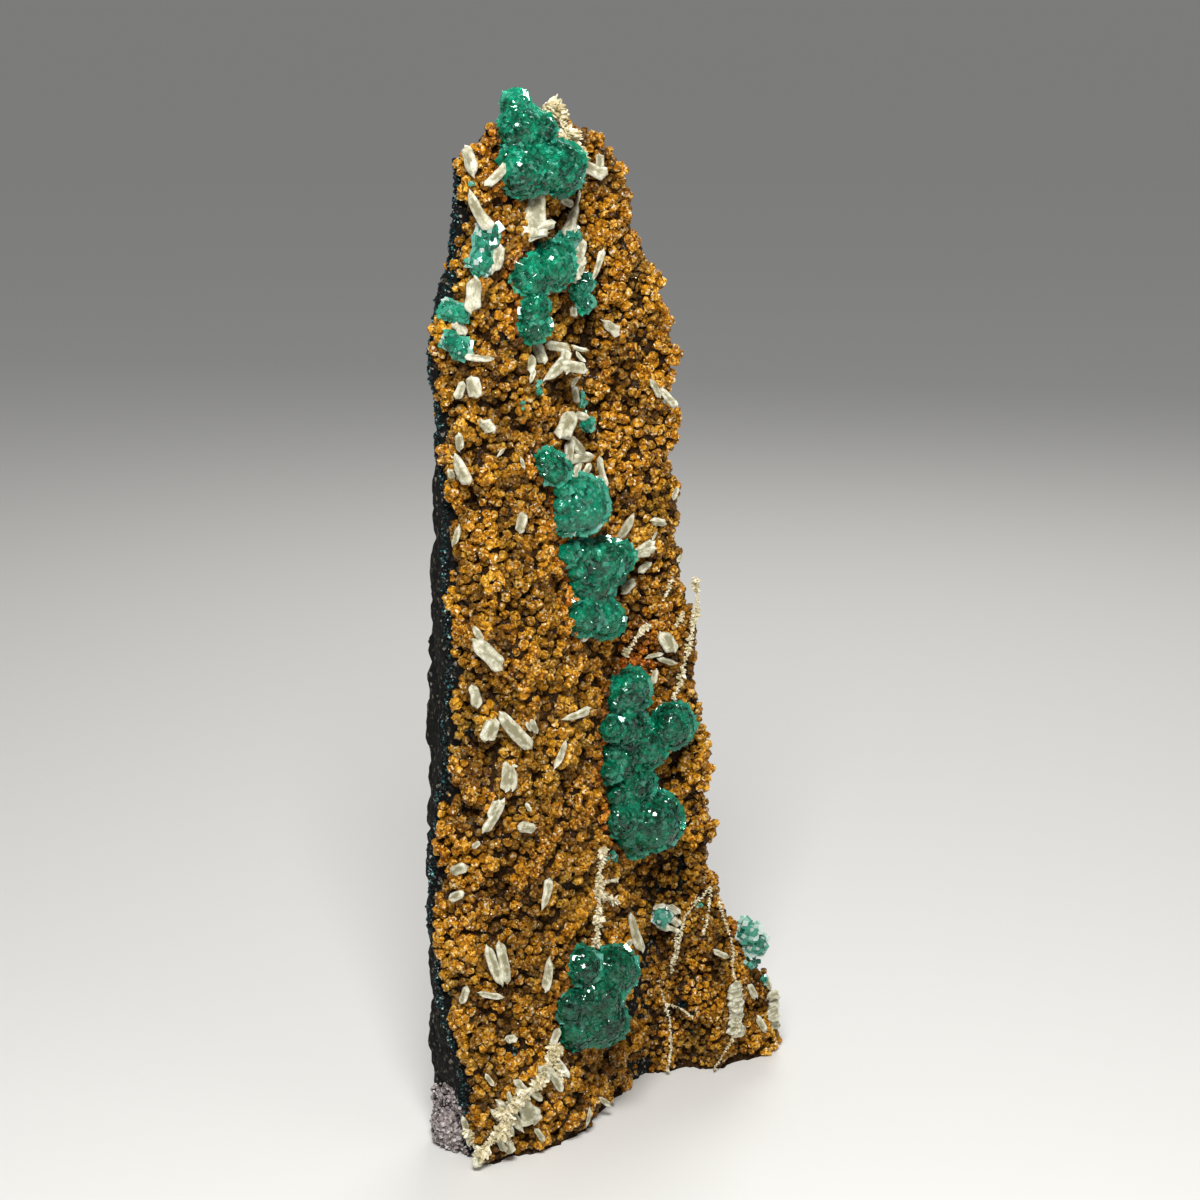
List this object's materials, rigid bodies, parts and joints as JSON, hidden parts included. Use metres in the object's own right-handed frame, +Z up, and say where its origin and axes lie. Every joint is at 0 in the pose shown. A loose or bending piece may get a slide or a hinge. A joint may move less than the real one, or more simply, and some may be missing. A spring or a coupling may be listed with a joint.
{
  "type": "mineral specimen",
  "caption": "Green apophyllite clusters and cream stilbite blades on a tall slab of basalt with a grape-like brown chalcedony crust, standing on a sawn base.",
  "frame": {"origin": "under the middle of the specimen's box, on the plane of the sawn base", "axes": "+Z up the slab, +X across the crystal face to its right, -Y out of the crystal face"},
  "size_m": [0.212, 0.0799, 0.4466],
  "materials": {
    "basalt": "rough broken dark grey basalt",
    "chalcedony": "brown chalcedony under a fine sparkling quartz druse",
    "quartz": "grey and pink massive quartz, satin",
    "apophyllite": "emerald green, clear to translucent crystal with pearly faces",
    "stilbite": "ivory, pearly satin blades",
    "stilbite_string": "cream, finely serrated and satin"
  },
  "bodies": {
    "root": {"basalt_matrix": "basalt", "chalcedony_crust": "chalcedony", "quartz_foot": "quartz", "apophyllite_crown": "apophyllite", "apophyllite_upper_left": "apophyllite", "apophyllite_upper_cubes": "apophyllite", "apophyllite_heart": "apophyllite", "apophyllite_trio": "apophyllite", "apophyllite_upper_ball": "apophyllite", "apophyllite_left_edge": "apophyllite", "apophyllite_left_tuft": "apophyllite", "apophyllite_small_fan": "apophyllite", "apophyllite_small_disc": "apophyllite", "apophyllite_great_disc": "apophyllite", "apophyllite_middle": "apophyllite", "apophyllite_complex": "apophyllite", "apophyllite_lower_ball": "apophyllite", "apophyllite_wing_pair": "apophyllite", "apophyllite_wing_edge": "apophyllite", "stilbite_top_left": "stilbite", "stilbite_under_crown_left": "stilbite", "stilbite_under_crown_right": "stilbite", "stilbite_long_left": "stilbite", "stilbite_bow_tie": "stilbite", "stilbite_upper_right": "stilbite", "stilbite_upper_blob": "stilbite", "stilbite_upper_needle": "stilbite", "stilbite_upper_oval": "stilbite", "stilbite_left_tall": "stilbite", "stilbite_left_stub": "stilbite", "stilbite_left_flat": "stilbite", "stilbite_nest": "stilbite", "stilbite_left_pair": "stilbite", "stilbite_centre_oval": "stilbite", "stilbite_left_lens": "stilbite", "stilbite_star": "stilbite", "stilbite_centre_needle": "stilbite", "stilbite_right_lens": "stilbite", "stilbite_right_wedge": "stilbite", "stilbite_left_big": "stilbite", "stilbite_left_low": "stilbite", "stilbite_left_double": "stilbite", "stilbite_middle_needle": "stilbite", "stilbite_middle_spike": "stilbite", "stilbite_flank_blob": "stilbite", "stilbite_low_spike": "stilbite", "stilbite_right_oval": "stilbite", "stilbite_wing_blade": "stilbite", "stilbite_left_twin": "stilbite", "stilbite_low_blade": "stilbite", "stringer_top": "stilbite_string", "stringer_right": "stilbite_string", "stringer_side": "stilbite_string", "stringer_middle": "stilbite_string", "stringer_foot": "stilbite_string", "stringer_wing_left": "stilbite_string", "stringer_wing_middle": "stilbite_string", "stringer_wing_right": "stilbite_string"}
  },
  "joints": []
}
